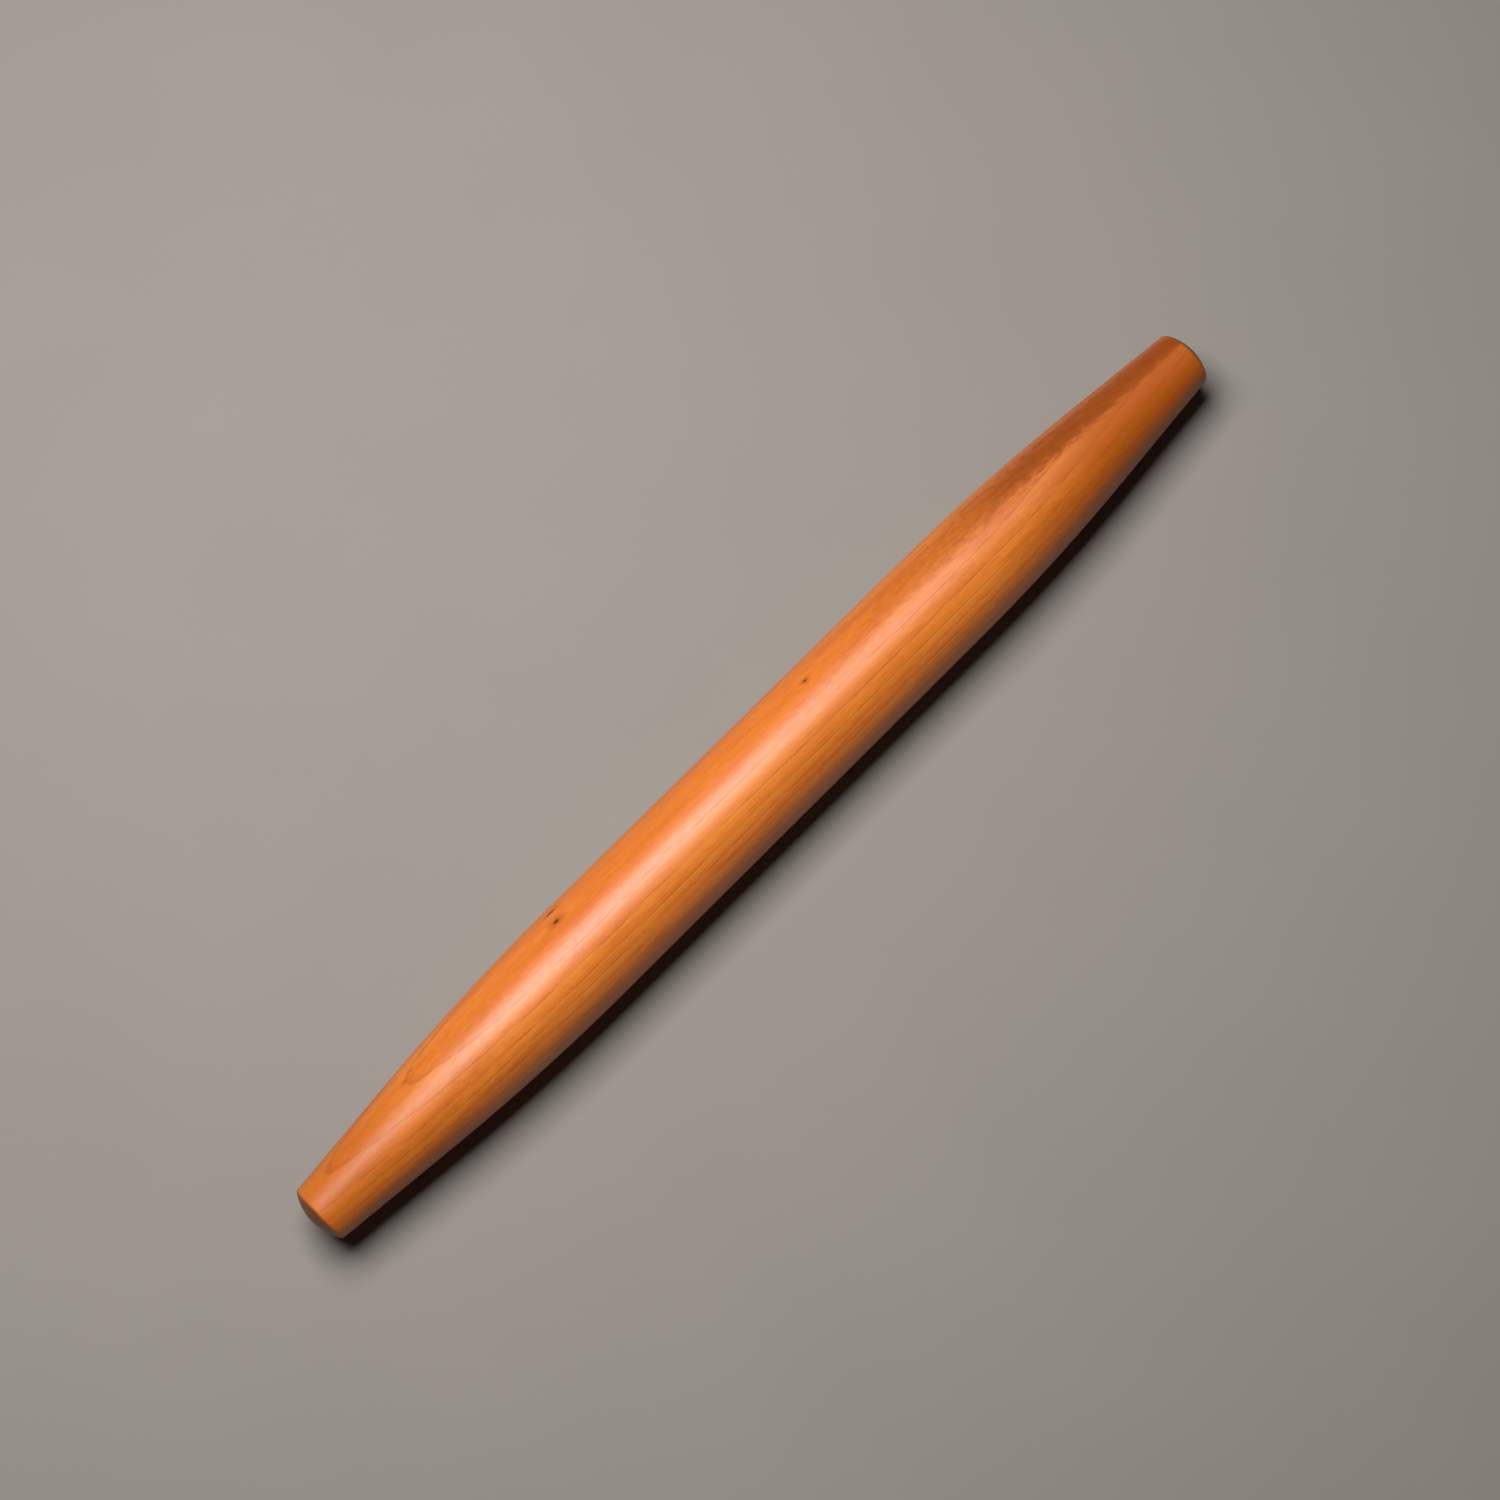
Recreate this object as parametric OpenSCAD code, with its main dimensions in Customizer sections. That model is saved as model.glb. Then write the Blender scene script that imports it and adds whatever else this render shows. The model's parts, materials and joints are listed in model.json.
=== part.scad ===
// French rolling pin: one solid piece of hardwood, turned between centres.
// The middle is a straight barrel. Each side bends down from it on one long
// arc into a straight taper, and ends in a crowned tip with a softened edge.
// The pin's axis lies along X, +Z is up and the origin is the pin's centre.
// All sizes are in millimetres.

/* [Pin] */
// Length from tip to tip
pin_len = 500; // [450:5:550]
// Diameter of the straight barrel
barrel_d = 45; // [40:0.5:50]
// Length of the straight barrel in the middle
barrel_len = 200; // [120:5:240]

/* [Tapers] */
// Length of the bend from barrel to taper, measured along their two lines
bend_len = 92; // [40:2:96]
// Diameter of the taper where its lines reach the end of the pin
tip_d = 25; // [22:0.5:30]

/* [Tips] */
// Height of the shallow crown on each tip
crown_h = 3.8; // [2:0.1:5]
// Radius of the softened edge between taper and crown
edge_r = 1.6; // [1:0.1:3]

/* [Smoothness] */
// Flat steps round the pin in the preview
steps_round = 180; // [60:12:360]

/* [Hidden] */
wood_colour = "peru";

// Flat steps in a full circle of the long arc and of the arcs at the tips.
bend_steps = 1440;
tip_steps = 180;

// The strips of the section meet on lines at whole hundredths of a millimetre.
function seam(y) = round(100 * y) / 100;

// The taper lies this little inside the arcs on both sides of it, and the long
// arc runs on into it for one lap, so that the outlines cross and leave no step.
tuck = 0.001;
lap = 4;

// In the section, X is the distance from the axis and Y is the distance from the middle.
half_len = pin_len / 2;
half_barrel = barrel_len / 2;
barrel_r = barrel_d / 2;
tip_r = tip_d / 2;

// The lines of barrel and taper meet at a corner, which the long arc rounds off.
corner_y = half_barrel + bend_len / 2;
taper_angle = atan2(barrel_r - tip_r, half_len - corner_y);
bend_r = seam(bend_len / 2 / tan(taper_angle / 2));
bend_end = seam(corner_y + bend_len / 2 * cos(taper_angle));
function taper_x(y) = tip_r + (half_len - y) * tan(taper_angle) - tuck;

// The crown is a cap of a sphere, as wide as the taper at the end of the pin.
crown_r = seam((pow(tip_r, 2) + pow(crown_h, 2)) / (2 * crown_h));
crown_y = half_len - crown_r;

// The softened edge touches the taper and the crown from inside. Its centre lies
// edge_r inside the taper's line and crown_r - edge_r from the crown's centre,
// which gives a quadratic equation for how far it lies from the end of the pin.
slope = tan(taper_angle);
inset_x = tip_r - edge_r / cos(taper_angle);
half_b = crown_r - slope * inset_x;
square_sum = 1 + pow(slope, 2);
rest = pow(crown_r, 2) + pow(inset_x, 2) - pow(crown_r - edge_r, 2);
edge_depth = (half_b - sqrt(pow(half_b, 2) - square_sum * rest)) / square_sum;
edge_x = inset_x + slope * edge_depth;
edge_y = half_len - edge_depth;
edge_start = seam(edge_y + edge_r * sin(taper_angle));
edge_end = seam(edge_y + edge_r * (edge_y - crown_y) / (crown_r - edge_r));

// The strip of a disc between two distances from the middle.
module disc_strip(centre, radius, from_y, to_y, steps) {
    intersection() {
        translate(centre) circle(r = radius, $fn = steps);
        translate([0, from_y]) square([barrel_d, to_y - from_y]);
    }
}

// Half of the pin's section, from the middle to one tip.
module half_section() {
    // The straight barrel
    square([barrel_r, half_barrel]);
    // The long arc
    disc_strip([barrel_r - bend_r, half_barrel], bend_r, half_barrel, bend_end + lap, bend_steps);
    // The straight taper
    polygon([
        [0, bend_end],
        [taper_x(bend_end), bend_end],
        [taper_x(edge_start), edge_start],
        [0, edge_start]
    ]);
    // The softened edge and the wood inside it
    translate([0, edge_start]) square([edge_x, edge_end - edge_start]);
    translate([edge_x, edge_y]) circle(r = edge_r + tuck, $fn = tip_steps);
    // The crown
    disc_strip([0, crown_y], crown_r, edge_end, half_len + lap, tip_steps);
}

// The whole pin, turned about its axis and laid along X.
module rolling_pin() {
    color(wood_colour)
    rotate([0, 90, 0])
    rotate_extrude($fn = steps_round) {
        half_section();
        mirror([0, 1]) half_section();
    }
}

rolling_pin();
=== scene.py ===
"""French rolling pin: a turned and oiled hardwood pin on a plain table, under one large soft lamp."""
import json
import math

import bmesh
import bpy
from bpy.props import FloatProperty, FloatVectorProperty, IntProperty, PointerProperty
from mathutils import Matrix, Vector


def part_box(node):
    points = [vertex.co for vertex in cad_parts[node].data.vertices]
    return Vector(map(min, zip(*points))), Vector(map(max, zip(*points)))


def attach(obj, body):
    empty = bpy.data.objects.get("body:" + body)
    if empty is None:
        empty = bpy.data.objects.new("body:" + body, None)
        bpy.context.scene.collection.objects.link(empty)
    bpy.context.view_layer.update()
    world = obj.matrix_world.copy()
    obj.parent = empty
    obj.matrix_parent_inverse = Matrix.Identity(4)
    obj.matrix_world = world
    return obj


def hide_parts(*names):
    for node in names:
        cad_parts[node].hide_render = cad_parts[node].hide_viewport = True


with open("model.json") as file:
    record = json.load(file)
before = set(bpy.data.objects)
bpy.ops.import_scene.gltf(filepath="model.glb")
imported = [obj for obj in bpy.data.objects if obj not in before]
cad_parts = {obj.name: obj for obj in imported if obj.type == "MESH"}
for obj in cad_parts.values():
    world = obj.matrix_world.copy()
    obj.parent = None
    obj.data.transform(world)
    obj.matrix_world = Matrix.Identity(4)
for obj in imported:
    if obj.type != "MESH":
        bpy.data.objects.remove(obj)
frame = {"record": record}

bl_info = {
    "name": "French Rolling Pin",
    "version": (1, 0, 0),
    "blender": (4, 5, 0),
    "location": "View3D > Sidebar > Rolling Pin",
    "description": "Turns a wooden french rolling pin and lays it on a table",
    "category": "Object",
}

PIN_NODE = "rolling_pin"
PIN_PIECE = "turned_pin"
MM = 0.001

barrel_mount = next(m for m in frame["record"]["mounts"] if m["name"] == "barrel")
pin_low, pin_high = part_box(PIN_NODE)
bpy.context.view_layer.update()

# Marks that small buried twigs left in the surface. Each has its place along
# the pin and round it, measured from the top towards +Y, then its half length
# along the grain, half width and depth. The angle is in degrees, the rest in
# millimetres.
PIN_KNOTS = (
    (-102.4, 38.3, 1.9, 1.1, 0.55),
    (-101.1, 56.5, 2.4, 0.55, 0.15),
    (34.7, 33.4, 1.0, 0.7, 0.45),
)

# How finely each stretch of the outline is drawn.
BARREL_STEPS = 80
BEND_STEPS = 36
TAPER_STEPS = 24
EDGE_STEPS = 10
CROWN_STEPS = 24

# Close rings on each side of a knot, how far they go in half lengths of the
# knot, and the number of presses that sink its pit.
KNOT_STEPS = 12
KNOT_REACH = 1.6
PIT_PRESSES = 5

# Points of the turned mesh that are closer than this are one point.
WELD = 0.002 * MM

# Height of each yearly line above the pin's axis, square to the growth layers,
# in millimetres. The lines are where one year's wood stops and the next starts.
YEARS = (-20.6, -16.4, -12.3, -7.4, -2.9, 3.0, 6.5, 10.2, 14.5, 18.7)
DEEPEST = 24.0
LINE_WIDTH = 0.16
LINE_FADE = 2.2
JUMP_BEFORE = 0.2
JUMP_AFTER = 0.1

# The noises that make the wood's figure: scale along and across the grain, per
# millimetre, then detail and roughness.
FIGURE = {
    "sway": (0.010, 0.035, 1.0, 0.5),
    "ripple": (0.05, 0.25, 2.0, 0.5),
    "streaks": (0.06, 1.5, 3.0, 0.6),
    "fine": (0.16, 4.2, 3.0, 0.65),
    "broad": (0.014, 0.14, 2.0, 0.5),
    "mottle": (0.22, 0.5, 3.0, 0.6),
}
MEAN = 0.5

# How far the growth layers waver, in millimetres.
SWAY_HEIGHT = 2.6
RIPPLE_HEIGHT = 0.55

# What turns pale wood into ripe wood, and the sums where that starts and ends.
LATE_TONE = 0.30
TONE = {"streaks": 0.9, "fine": 0.6, "broad": 0.9, "mottle": 0.5}
TONE_RANGE = (-0.45, 0.75)

# Where the painted shade towards each taper starts and is full, in millimetres from the middle, how much of
# it there is, and how far its limit wanders. It darkens the wood where the lamp's light falls off along the
# pin.
TAPER_SHADE_PLUS = (95.0, 215.0)
TAPER_SHADE_PLUS_SHARE = 0.92
TAPER_SHADE_MINUS = (130.0, 245.0)
TAPER_SHADE_MINUS_SHARE = 0.55
WANDER_BROAD = 60
WANDER_MOTTLE = 25

# The brown band: its edge, as a share of the way up the growth layers, how
# ragged that is, where it starts and is full in millimetres, and its strength.
BAND_EDGE = (0.905, 0.985)
BAND_MOTTLE = 0.10
BAND_STREAKS = 0.05
BAND_ALONG = (20.0, 190.0)
BAND_SHARE = 0.55
BAND_SHARE_MOTTLE = 0.5

# Pores show where both of these noises are high, and yearly lines where the
# streaks are.
PORE_FINE = (0.60, 0.80)
PORE_STREAKS = (0.40, 0.65)
LINE_STREAKS = (0.30, 0.62)
PORE_SHARE = 0.55
LINE_SHARE = 0.55

# The stain and the dark pit of a knot, in half sizes of the knot.
STAIN = (0.8, 3.4)
STAIN_SHARE = 0.45
PIT = (0.35, 1.1)

# Where the dark tips are full and where they start, in millimetres from the tip. Their colour is partly the
# oiled end grain and partly painted shade on the crowns, which face away from the lamp.
END_GRAIN_AND_SHADE_FULL = 3.2
END_GRAIN_AND_SHADE_START = 4.6
END_GRAIN_AND_SHADE_SHARE = 0.85
END_GRAIN_AND_SHADE_RAGGED = 0.6

# Variation of the roughness, and the relief of the surface.
ROUGHNESS_FINE = 0.12
ROUGHNESS_MOTTLE = 0.08
RELIEF_GRAIN = 0.5
RELIEF_PORES = 0.6
RELIEF_STRENGTH = 0.22
RELIEF_DEPTH = 0.05 * MM

TABLE_SIZE = 8
TABLE_CLOUDS = 14.0
TABLE_DETAIL = 4.0
TABLE_VARIATION = 0.03
TABLE_ROUGHNESS = 0.85
TABLE_SPECULAR = 0.2
ROOM_COLOUR = (1.0, 0.95, 0.9)
SENSOR_WIDTH = 36.0


class PinShape(bpy.types.PropertyGroup):
    """Sizes of the turned pin"""
    length: FloatProperty(
        name="Length", description="Length from tip to tip",
        default=pin_high.x - pin_low.x, unit="LENGTH")
    barrel_radius: FloatProperty(
        name="Barrel Radius", description="Radius of the straight barrel",
        default=barrel_mount["dims"]["r_mm"] * MM, unit="LENGTH")
    barrel_length: FloatProperty(
        name="Barrel Length", description="Length of the straight barrel",
        default=barrel_mount["dims"]["length_mm"] * MM, unit="LENGTH")
    bend_length: FloatProperty(
        name="Bend Length", description="Length of the bend from barrel to taper, along their two lines",
        default=92 * MM, unit="LENGTH")
    tip_radius: FloatProperty(
        name="Tip Radius", description="Radius of the taper where its lines reach the end of the pin",
        default=12.5 * MM, unit="LENGTH")
    crown_height: FloatProperty(
        name="Crown Height", description="Height of the shallow crown on each tip",
        default=3.8 * MM, unit="LENGTH")
    edge_radius: FloatProperty(
        name="Edge Radius", description="Radius of the softened edge between taper and crown",
        default=1.6 * MM, unit="LENGTH")
    steps_round: IntProperty(
        name="Steps Round", description="Faces round the pin", default=256, min=24)


class WoodLook(bpy.types.PropertyGroup):
    """Colours and scale of the wood"""
    pale: FloatVectorProperty(
        name="Pale", description="Early wood of each year", subtype="COLOR",
        size=3, min=0, max=1, default=(0.80, 0.240, 0.030))
    ripe: FloatVectorProperty(
        name="Ripe", description="Late wood of each year", subtype="COLOR",
        size=3, min=0, max=1, default=(0.60, 0.135, 0.014))
    pore: FloatVectorProperty(
        name="Pore", description="Wood round the pores and at the yearly lines", subtype="COLOR",
        size=3, min=0, max=1, default=(0.26, 0.048, 0.006))
    # Painted shade: the colour the wood takes towards both tapers, where the lamp's light falls off along
    # the pin.
    painted_taper_shade: FloatVectorProperty(
        name="Heart", description="Riper wood towards the tapers", subtype="COLOR",
        size=3, min=0, max=1, default=(0.43, 0.088, 0.0035))
    brown: FloatVectorProperty(
        name="Brown", description="Mottled brown wood along one side", subtype="COLOR",
        size=3, min=0, max=1, default=(0.24, 0.045, 0.002))
    # Partly the darker oiled end grain, partly painted shade on the crowns, which face away from the lamp.
    end_grain_and_shade: FloatVectorProperty(
        name="End Grain", description="Crowned tips, which drink more oil", subtype="COLOR",
        size=3, min=0, max=1, default=(0.17, 0.032, 0.004))
    knot: FloatVectorProperty(
        name="Knot", description="Bottom of the pin knots", subtype="COLOR",
        size=3, min=0, max=1, default=(0.035, 0.009, 0.003))
    layer_tilt: FloatProperty(
        name="Layer Tilt", description="Turn of the growth layers round the pin, from level towards +Y",
        default=math.radians(34.5), subtype="ANGLE")
    roughness: FloatProperty(
        name="Roughness", description="Roughness of the oiled surface", default=0.40, min=0, max=1)


class StudioLook(bpy.types.PropertyGroup):
    """Table, lamp and camera"""
    table_colour: FloatVectorProperty(
        name="Table Colour", description="Colour of the table", subtype="COLOR",
        size=3, min=0, max=1, default=(0.278, 0.255, 0.229))
    lamp_watts: FloatProperty(
        name="Lamp Power", description="Power of the large soft lamp", default=17.3, unit="POWER")
    lamp_lean: FloatProperty(
        name="Lamp Lean", description="Lean of the lamp from overhead towards +Y",
        default=math.radians(18.5), subtype="ANGLE")
    lamp_aside: FloatProperty(
        name="Lamp Aside", description="Shift of the lamp along the pin, as a share of its distance",
        default=-0.03)
    lamp_distance: FloatProperty(
        name="Lamp Distance", description="Distance of the lamp from the pin", default=1.1, unit="LENGTH")
    lamp_width: FloatProperty(
        name="Lamp Width", description="Size of the lamp across the pin", default=0.58, unit="LENGTH")
    lamp_length: FloatProperty(
        name="Lamp Length", description="Size of the lamp along the pin", default=0.62, unit="LENGTH")
    room_light: FloatProperty(
        name="Room Light", description="Strength of the dim light from the room", default=0.02)
    camera_place: FloatVectorProperty(
        name="Camera Place", description="Where the camera stands", subtype="TRANSLATION",
        size=3, default=(-0.200, -0.1886, 1.219))
    camera_pitch: FloatProperty(
        name="Camera Pitch", description="Tilt of the camera from straight down",
        default=math.radians(13.13), subtype="ANGLE")
    camera_turn: FloatProperty(
        name="Camera Turn", description="Turn of the camera about the vertical",
        default=math.radians(-45.40), subtype="ANGLE")
    camera_lens: FloatProperty(
        name="Camera Lens", description="Focal length on a sensor 36 mm wide", default=75.0)


def arc(centre, radius, start, end, steps):
    """Points on an arc as (along, out) pairs, from one angle to another."""
    angles = (start + (end - start) * i / steps for i in range(steps + 1))
    return [(centre[0] + radius * math.cos(a), centre[1] + radius * math.sin(a)) for a in angles]


def line(start, end, steps):
    """Points inside a straight line, without its two ends."""
    return [tuple(a + (b - a) * i / steps for a, b in zip(start, end)) for i in range(1, steps)]


def half_outline(shape):
    """The pin's outline from the end of the barrel to the tip at +X, as (along, out) pairs."""
    half, barrel, out = shape.length / 2, shape.barrel_length / 2, shape.barrel_radius
    tangent = shape.bend_length / 2
    taper = math.atan2(out - shape.tip_radius, half - barrel - tangent)
    bend_radius = tangent / math.tan(taper / 2)
    slope = math.tan(taper)
    crown_radius = (shape.tip_radius ** 2 + shape.crown_height ** 2) / (2 * shape.crown_height)

    # The softened edge touches the taper and the crown from inside. How far its
    # centre lies back from the tip is the smaller root of a quadratic.
    inset = shape.tip_radius - shape.edge_radius / math.cos(taper)
    half_b = crown_radius - slope * inset
    square_sum = 1 + slope ** 2
    rest = crown_radius ** 2 + inset ** 2 - (crown_radius - shape.edge_radius) ** 2
    depth = (half_b - math.sqrt(half_b ** 2 - square_sum * rest)) / square_sum
    edge = (half - depth, inset + slope * depth)
    crown = (half - crown_radius, 0.0)
    edge_end = math.atan2(edge[1] - crown[1], edge[0] - crown[0])

    up = math.pi / 2
    bend = arc((barrel, out - bend_radius), bend_radius, up, up - taper, BEND_STEPS)
    soft_edge = arc(edge, shape.edge_radius, up - taper, edge_end, EDGE_STEPS)
    cap = arc(crown, crown_radius, edge_end, 0.0, CROWN_STEPS)
    return bend + line(bend[-1], soft_edge[0], TAPER_STEPS) + soft_edge + cap[1:]


def outline(shape):
    """The whole outline from tip to tip, with close rings where a knot is pressed in."""
    half = half_outline(shape)
    barrel = shape.barrel_length / 2
    places = {-barrel + shape.barrel_length * i / BARREL_STEPS for i in range(BARREL_STEPS + 1)}
    for along, _, reach, _, _ in PIN_KNOTS:
        for i in range(-KNOT_STEPS, KNOT_STEPS + 1):
            place = (along + reach * KNOT_REACH * i / KNOT_STEPS) * MM
            if abs(place) < barrel:
                places.add(place)
    flat = [(place, shape.barrel_radius) for place in sorted(places)]
    left = [(-along, out) for along, out in reversed(half[1:])]
    return left + flat + half[1:]


def deselect_all():
    """Leave nothing selected, so that an operator acts only on what is made next."""
    for item in bpy.context.selected_objects:
        item.select_set(False)
    bpy.context.view_layer.objects.active = None


def select_vertices(mesh_object, wanted):
    """Select the vertices of an object in edit mode whose place passes a test."""
    mesh = bmesh.from_edit_mesh(mesh_object.data)
    for vertex in mesh.verts:
        vertex.select = wanted(vertex.co)
    mesh.select_flush_mode()
    bmesh.update_edit_mesh(mesh_object.data)


class ROLLINGPIN_OT_turn(bpy.types.Operator):
    """Draw the pin's outline and turn it about its axis"""
    bl_idname = "rolling_pin.turn"
    bl_label = "Turn the Pin"

    def execute(self, context):
        shape = context.scene.pin_shape
        points = [Vector((along, 0, out)) for along, out in outline(shape)]
        bpy.ops.mesh.primitive_plane_add(size=shape.edge_radius, location=points[0])
        pin = context.active_object
        pin.name = pin.data.name = PIN_PIECE
        bpy.ops.object.transform_apply(location=True, rotation=True, scale=True)
        bpy.ops.object.mode_set(mode="EDIT")
        bpy.ops.mesh.select_all(action="SELECT")
        bpy.ops.mesh.merge(type="CENTER")
        for last, point in zip(points, points[1:]):
            step = {"value": point - last}
            bpy.ops.mesh.extrude_region_move(TRANSFORM_OT_translate=step)
        bpy.ops.mesh.select_all(action="SELECT")
        bpy.ops.mesh.spin(steps=shape.steps_round, angle=math.tau, center=(0, 0, 0), axis=(1, 0, 0))
        bpy.ops.mesh.select_all(action="SELECT")
        bpy.ops.mesh.remove_doubles(threshold=WELD)
        bpy.ops.mesh.normals_make_consistent(inside=False)
        bpy.ops.object.mode_set(mode="OBJECT")
        bpy.ops.object.shade_smooth()
        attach(pin, "root")
        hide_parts(PIN_NODE)
        return {"FINISHED"}


def knot_place(shape, along, around):
    """Where a knot lies on the barrel, and the direction straight out of the wood there."""
    outward = Vector((0, math.sin(around), math.cos(around)))
    return Vector((along * MM, 0, 0)) + outward * shape.barrel_radius, outward


class ROLLINGPIN_OT_knots(bpy.types.Operator):
    """Press the small pits of the pin knots into the barrel"""
    bl_idname = "rolling_pin.knots"
    bl_label = "Press in the Knots"

    def execute(self, context):
        pin = context.scene.objects[PIN_PIECE]
        context.view_layer.objects.active = pin
        pin.select_set(True)
        bpy.ops.object.mode_set(mode="EDIT")
        for knot in PIN_KNOTS:
            self.press(pin, context.scene.pin_shape, *knot)
        bpy.ops.mesh.select_all(action="SELECT")
        bpy.ops.mesh.normals_make_consistent(inside=False)
        bpy.ops.object.mode_set(mode="OBJECT")
        pin.select_set(False)
        return {"FINISHED"}

    def press(self, pin, shape, along, around, reach, width, depth):
        """Sink one pit in a few presses, each on a smaller patch than the last."""
        place, outward = knot_place(shape, along, math.radians(around))
        aside = outward.cross(Vector((1, 0, 0)))

        def spread(point):
            """How far a point lies from the middle of the pit, where its rim is 1."""
            offset = (point - place) / MM
            if abs(offset.dot(outward)) > width:
                return math.inf
            return math.hypot(offset.x / reach, offset.dot(aside) / width)

        for number in range(PIT_PRESSES):
            size = 1 - number / PIT_PRESSES
            select_vertices(pin, lambda point: spread(point) < size)
            bpy.ops.transform.translate(value=outward * (-depth * MM / PIT_PRESSES))


class Value:
    """A number that varies over a surface, so that sums on it add Math nodes."""

    def __init__(self, material, socket):
        self.material = material
        self.socket = socket

    def maths(self, operation, first, second):
        return self.material.node("ShaderNodeMath", {"operation": operation}, {0: first, 1: second})

    def __add__(self, other):
        return self.maths("ADD", self, other)

    def __radd__(self, other):
        return self.maths("ADD", other, self)

    def __sub__(self, other):
        return self.maths("SUBTRACT", self, other)

    def __rsub__(self, other):
        return self.maths("SUBTRACT", other, self)

    def __mul__(self, other):
        return self.maths("MULTIPLY", self, other)

    def __rmul__(self, other):
        return self.maths("MULTIPLY", other, self)

    def __truediv__(self, other):
        return self.maths("DIVIDE", self, other)

    def __abs__(self):
        return self.material.node("ShaderNodeMath", {"operation": "ABSOLUTE"}, {0: self})


class Material:
    """A procedural material that is built node by node."""

    def __init__(self, name):
        self.data = bpy.data.materials.new(name)
        self.data.use_nodes = True
        self.tree = self.data.node_tree
        self.shader = self.tree.nodes["Principled BSDF"]

    def node(self, kind, settings, sockets, output=0):
        """Add a node: its settings first, then the values or links of its sockets."""
        made = self.tree.nodes.new(kind)
        for name, setting in settings.items():
            if name == "stops":
                self.set_stops(made.color_ramp, setting)
            else:
                setattr(made, name, setting)
        for name, value in sockets.items():
            self.feed(made.inputs[name], value)
        return Value(self, made.outputs[output])

    def feed(self, socket, value):
        """Link a value to a socket, or set the socket where the value is the same all over."""
        if isinstance(value, Value):
            self.tree.links.new(value.socket, socket)
        else:
            socket.default_value = value

    @staticmethod
    def set_stops(ramp, stops):
        """Give a colour ramp its stops, as pairs of a position and a grey."""
        while len(ramp.elements) > 1:
            ramp.elements.remove(ramp.elements[-1])
        for number, (position, grey) in enumerate(stops):
            stop = ramp.elements[0] if number == 0 else ramp.elements.new(position)
            stop.position = position
            stop.color = (grey, grey, grey, 1)

    def noise(self, place, scale, detail, roughness):
        """Soft noise from 0 to 1, with a mean near a half."""
        sockets = {"Vector": place, "Scale": scale, "Detail": detail, "Roughness": roughness}
        return self.node("ShaderNodeTexNoise", {}, sockets)

    def grain(self, place, along, across, detail, roughness):
        """Noise that is drawn out along the grain."""
        return self.noise(self.stretch(place, along, across, across), 1.0, detail, roughness)

    def stretch(self, place, along, across, depth):
        """The same place with each of its coordinates multiplied by a number."""
        sockets = {0: place, 1: (along, across, depth)}
        return self.node("ShaderNodeVectorMath", {"operation": "MULTIPLY"}, sockets)

    def length(self, place):
        """How far a place is from the origin."""
        return self.node("ShaderNodeVectorMath", {"operation": "LENGTH"}, {0: place}, output="Value")

    def ramp(self, value, stops):
        """A value run through straight slopes between stops."""
        return self.node("ShaderNodeValToRGB", {"stops": stops}, {0: value})

    def step(self, value, low, high):
        """A value that rises smoothly from 0 at low to 1 at high."""
        settings = {"interpolation_type": "SMOOTHSTEP"}
        return self.node("ShaderNodeMapRange", settings, {"Value": value, "From Min": low, "From Max": high})

    def mix(self, share, first, second):
        """Two colours mixed by a share from 0 to 1."""
        settings = {"data_type": "RGBA", "clamp_factor": True}
        return self.node("ShaderNodeMix", settings, {0: share, 6: first, 7: second}, output=2)


def year_share(height):
    """Where a height lies on the yearly ramps, from 0 to 1."""
    return (height + DEEPEST) / (2 * DEEPEST)


def line_stops():
    """Stops of a thin line at the end of every year."""
    stops = [(0.0, 0.0)]
    for year in YEARS:
        stops.append((year_share(year - LINE_WIDTH), 0.0))
        stops.append((year_share(year), 1.0))
        stops.append((year_share(year + LINE_FADE * LINE_WIDTH), 0.0))
    return stops


def late_stops():
    """Stops that jump up at every yearly line and slope back down to the next."""
    stops = []
    for year in YEARS:
        stops.append((year_share(year - JUMP_BEFORE), 0.0))
        stops.append((year_share(year + JUMP_AFTER), 1.0))
    return stops


def rgba(colour):
    return (*colour, 1.0)


def year_marks(made, figure, above):
    """The thin yearly lines, and the share of late wood between them."""
    height = above + (figure["sway"] - MEAN) * SWAY_HEIGHT + (figure["ripple"] - MEAN) * RIPPLE_HEIGHT
    share = height * (0.5 / DEEPEST) + 0.5
    return made.ramp(share, line_stops()), made.ramp(share, late_stops())


def taper_shade_and_brown_band(made, look, colour, figure, along, facing):
    """Painted shade that darkens the wood towards both tapers, where the lamp's light falls off along the
    pin, and wood that is browner along one side of the one at +X.
    """
    wander = (figure["broad"] - MEAN) * WANDER_BROAD + (figure["mottle"] - MEAN) * WANDER_MOTTLE
    # Painted shade towards both tapers, in place of the lamp's light falling off along the pin.
    plus = made.step(along + wander, *TAPER_SHADE_PLUS) * TAPER_SHADE_PLUS_SHARE
    minus = made.step(wander - along, *TAPER_SHADE_MINUS) * TAPER_SHADE_MINUS_SHARE
    colour = made.mix(plus + minus, colour, rgba(look.painted_taper_shade))

    ragged = facing + (figure["mottle"] - MEAN) * BAND_MOTTLE + (figure["streaks"] - MEAN) * BAND_STREAKS
    band = made.step(ragged, *BAND_EDGE) * made.step(along + wander, *BAND_ALONG)
    strength = BAND_SHARE + BAND_SHARE_MOTTLE * figure["mottle"]
    return made.mix(band * strength, colour, rgba(look.brown))


def knotted(made, look, shape, colour, place):
    """The stain round each pin knot and the dark bottom of its pit."""
    for along, around, reach, width, _ in PIN_KNOTS:
        centre, _ = knot_place(shape, along, math.radians(around))
        offset = made.node("ShaderNodeVectorMath", {"operation": "SUBTRACT"}, {0: place, 1: centre})
        far = made.length(made.stretch(offset, 1 / (reach * MM), 1 / (width * MM), 1 / (width * MM)))
        colour = made.mix((1 - made.step(far, *STAIN)) * STAIN_SHARE, colour, rgba(look.pore))
        colour = made.mix(1 - made.step(far, *PIT), colour, rgba(look.knot))
    return colour


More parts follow.
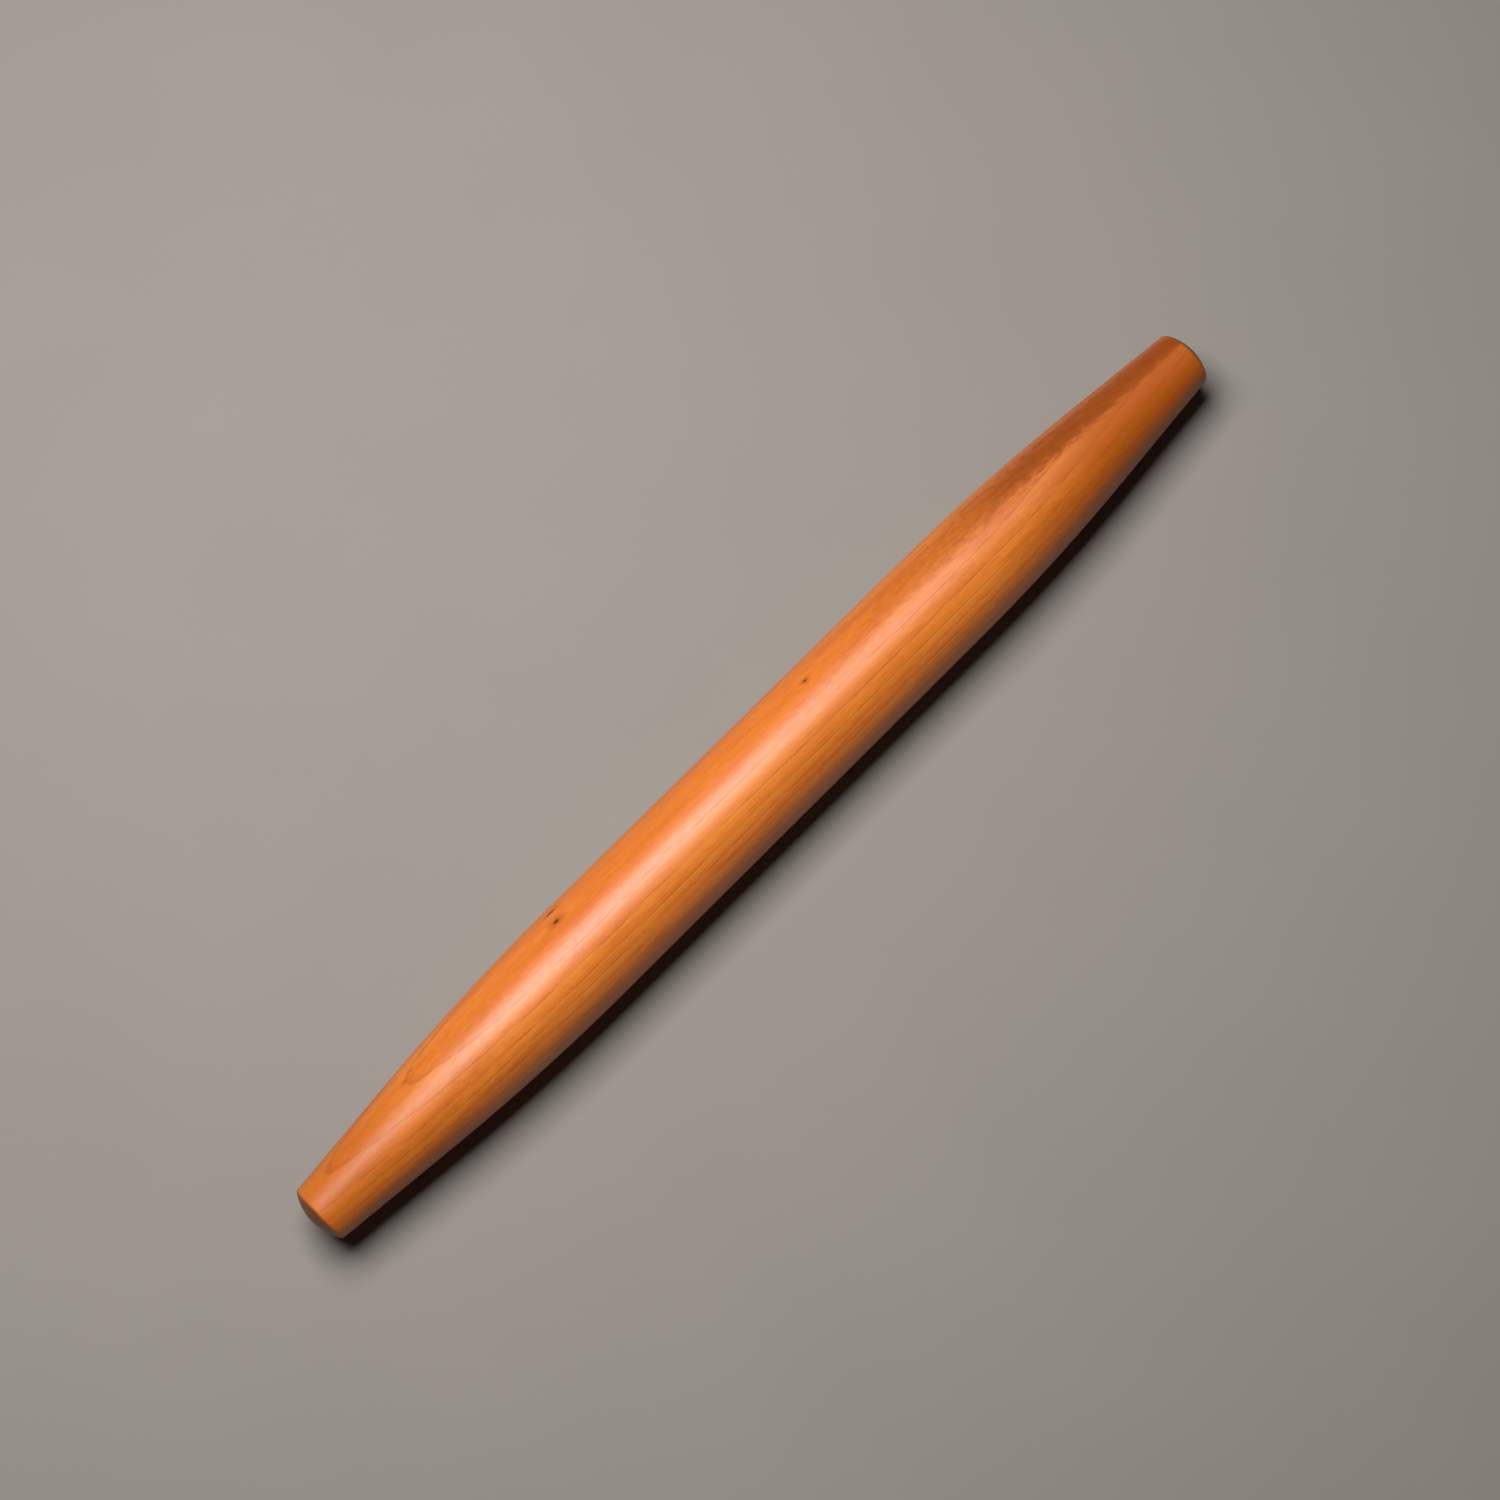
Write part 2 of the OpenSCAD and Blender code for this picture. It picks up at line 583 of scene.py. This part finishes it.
def wood(look, shape):
    """Orange-brown fine-grained hardwood with an oiled satin finish."""
    made = Material("oiled_wood")
    place = made.node("ShaderNodeTexCoord", {}, {}, output="Object")
    log = made.node("ShaderNodeMapping", {"vector_type": "POINT"}, {
        "Vector": place, "Rotation": (look.layer_tilt, 0, 0), "Scale": (1 / MM, 1 / MM, 1 / MM)})
    along = made.node("ShaderNodeSeparateXYZ", {}, {0: log}, output="X")
    above = made.node("ShaderNodeSeparateXYZ", {}, {0: log}, output="Z")
    from_axis = made.length(made.stretch(log, 0.0, 1.0, 1.0))
    figure = {name: made.grain(log, *values) for name, values in FIGURE.items()}
    streaks, fine, mottle = figure["streaks"], figure["fine"], figure["mottle"]

    year_line, late = year_marks(made, figure, above)
    tone = LATE_TONE * late
    for name, weight in TONE.items():
        tone = tone + weight * (figure[name] - MEAN)
    colour = made.mix(made.step(tone, *TONE_RANGE), rgba(look.pale), rgba(look.ripe))
    # Painted shade towards the tapers, then the brown band along one side.
    colour = taper_shade_and_brown_band(made, look, colour, figure, along, above / from_axis)

    pores = made.step(fine, *PORE_FINE) * made.step(streaks, *PORE_STREAKS)
    dark = pores * PORE_SHARE + year_line * made.step(streaks, *LINE_STREAKS) * LINE_SHARE
    colour = made.mix(dark, colour, rgba(look.pore))
    colour = knotted(made, look, shape, colour, place)

    # Dark tips: partly oiled end grain, partly painted shade on the crowns, which face away from the lamp.
    outwards = abs(along) + (fine - MEAN) * END_GRAIN_AND_SHADE_RAGGED
    tip = shape.length / 2 / MM
    end = made.step(outwards, tip - END_GRAIN_AND_SHADE_START, tip - END_GRAIN_AND_SHADE_FULL)
    colour = made.mix(end * END_GRAIN_AND_SHADE_SHARE, colour, rgba(look.end_grain_and_shade))

    roughness = look.roughness + (fine - MEAN) * ROUGHNESS_FINE + (mottle - MEAN) * ROUGHNESS_MOTTLE
    relief = fine * RELIEF_GRAIN + streaks * RELIEF_GRAIN - pores * RELIEF_PORES
    bump = made.node("ShaderNodeBump", {}, {
        "Height": relief, "Strength": RELIEF_STRENGTH, "Distance": RELIEF_DEPTH})
    made.feed(made.shader.inputs["Base Color"], colour)
    made.feed(made.shader.inputs["Roughness"], roughness)
    made.feed(made.shader.inputs["Normal"], bump)
    return made.data


class ROLLINGPIN_OT_finish(bpy.types.Operator):
    """Give the pin its oiled wood"""
    bl_idname = "rolling_pin.finish"
    bl_label = "Oil the Wood"

    def execute(self, context):
        scene = context.scene
        scene.objects[PIN_PIECE].data.materials.append(wood(scene.pin_wood, scene.pin_shape))
        return {"FINISHED"}


class ROLLINGPIN_OT_studio(bpy.types.Operator):
    """Set up the table, the lamp, the dim room and the camera"""
    bl_idname = "rolling_pin.studio"
    bl_label = "Set Up the Studio"

    def execute(self, context):
        studio, shape = context.scene.pin_studio, context.scene.pin_shape
        self.add_table(context, studio, shape)
        self.add_lamp(context, studio)
        self.add_camera(context, studio)
        world = bpy.data.worlds.new("dim_room")
        world.use_nodes = True
        room = world.node_tree.nodes["Background"]
        room.inputs["Color"].default_value = rgba(ROOM_COLOUR)
        room.inputs["Strength"].default_value = studio.room_light
        context.scene.world = world
        context.scene.view_settings.view_transform = "Standard"
        return {"FINISHED"}

    def add_table(self, context, studio, shape):
        bpy.ops.mesh.primitive_plane_add(size=TABLE_SIZE, location=(0, 0, -shape.barrel_radius))
        table = context.active_object
        table.name = "table"
        bpy.ops.object.transform_apply(location=True, rotation=True, scale=True)
        paint = Material("table_paint")
        place = paint.node("ShaderNodeTexCoord", {}, {}, output="Object")
        clouds = paint.noise(place, TABLE_CLOUDS, TABLE_DETAIL, 0.5)
        low = rgba([c * (1 - TABLE_VARIATION) for c in studio.table_colour])
        high = rgba([c * (1 + TABLE_VARIATION) for c in studio.table_colour])
        paint.feed(paint.shader.inputs["Base Color"], paint.mix(clouds, low, high))
        paint.feed(paint.shader.inputs["Roughness"], TABLE_ROUGHNESS)
        paint.feed(paint.shader.inputs["Specular IOR Level"], TABLE_SPECULAR)
        table.data.materials.append(paint.data)
        table.select_set(False)

    def add_lamp(self, context, studio):
        away = Vector((studio.lamp_aside, math.sin(studio.lamp_lean), math.cos(studio.lamp_lean)))
        data = bpy.data.lights.new("soft_lamp", "AREA")
        data.shape = "RECTANGLE"
        data.size = studio.lamp_length
        data.size_y = studio.lamp_width
        data.energy = studio.lamp_watts
        lamp = bpy.data.objects.new("soft_lamp", data)
        context.scene.collection.objects.link(lamp)
        lamp.location = away * studio.lamp_distance
        lamp.rotation_euler = (-studio.lamp_lean, 0, 0)

    def add_camera(self, context, studio):
        data = bpy.data.cameras.new("camera")
        data.lens = studio.camera_lens
        data.sensor_width = SENSOR_WIDTH
        camera = bpy.data.objects.new("camera", data)
        context.scene.collection.objects.link(camera)
        camera.location = studio.camera_place
        camera.rotation_euler = (studio.camera_pitch, 0, studio.camera_turn)
        context.scene.camera = camera


class ROLLINGPIN_PT_panel(bpy.types.Panel):
    """Sidebar panel with the pin's steps and sizes"""
    bl_idname = "ROLLINGPIN_PT_panel"
    bl_label = "Rolling Pin"
    bl_space_type = "VIEW_3D"
    bl_region_type = "UI"
    bl_category = "Rolling Pin"

    def draw(self, context):
        for operator in OPERATORS:
            self.layout.operator(operator.bl_idname)
        for group in (context.scene.pin_shape, context.scene.pin_wood, context.scene.pin_studio):
            column = self.layout.column(align=True)
            for name in group.__annotations__:
                column.prop(group, name)


GROUPS = {"pin_shape": PinShape, "pin_wood": WoodLook, "pin_studio": StudioLook}
OPERATORS = (ROLLINGPIN_OT_studio, ROLLINGPIN_OT_turn, ROLLINGPIN_OT_knots, ROLLINGPIN_OT_finish)


def register():
    for item in (*GROUPS.values(), *OPERATORS, ROLLINGPIN_PT_panel):
        bpy.utils.register_class(item)
    for name, group in GROUPS.items():
        setattr(bpy.types.Scene, name, PointerProperty(type=group))


def unregister():
    for name in GROUPS:
        delattr(bpy.types.Scene, name)
    for item in reversed((*GROUPS.values(), *OPERATORS, ROLLINGPIN_PT_panel)):
        bpy.utils.unregister_class(item)


def main():
    register()
    deselect_all()
    bpy.ops.rolling_pin.studio()
    bpy.ops.rolling_pin.turn()
    deselect_all()
    bpy.ops.rolling_pin.knots()
    bpy.ops.rolling_pin.finish()


if __name__ == "__main__":
    main()
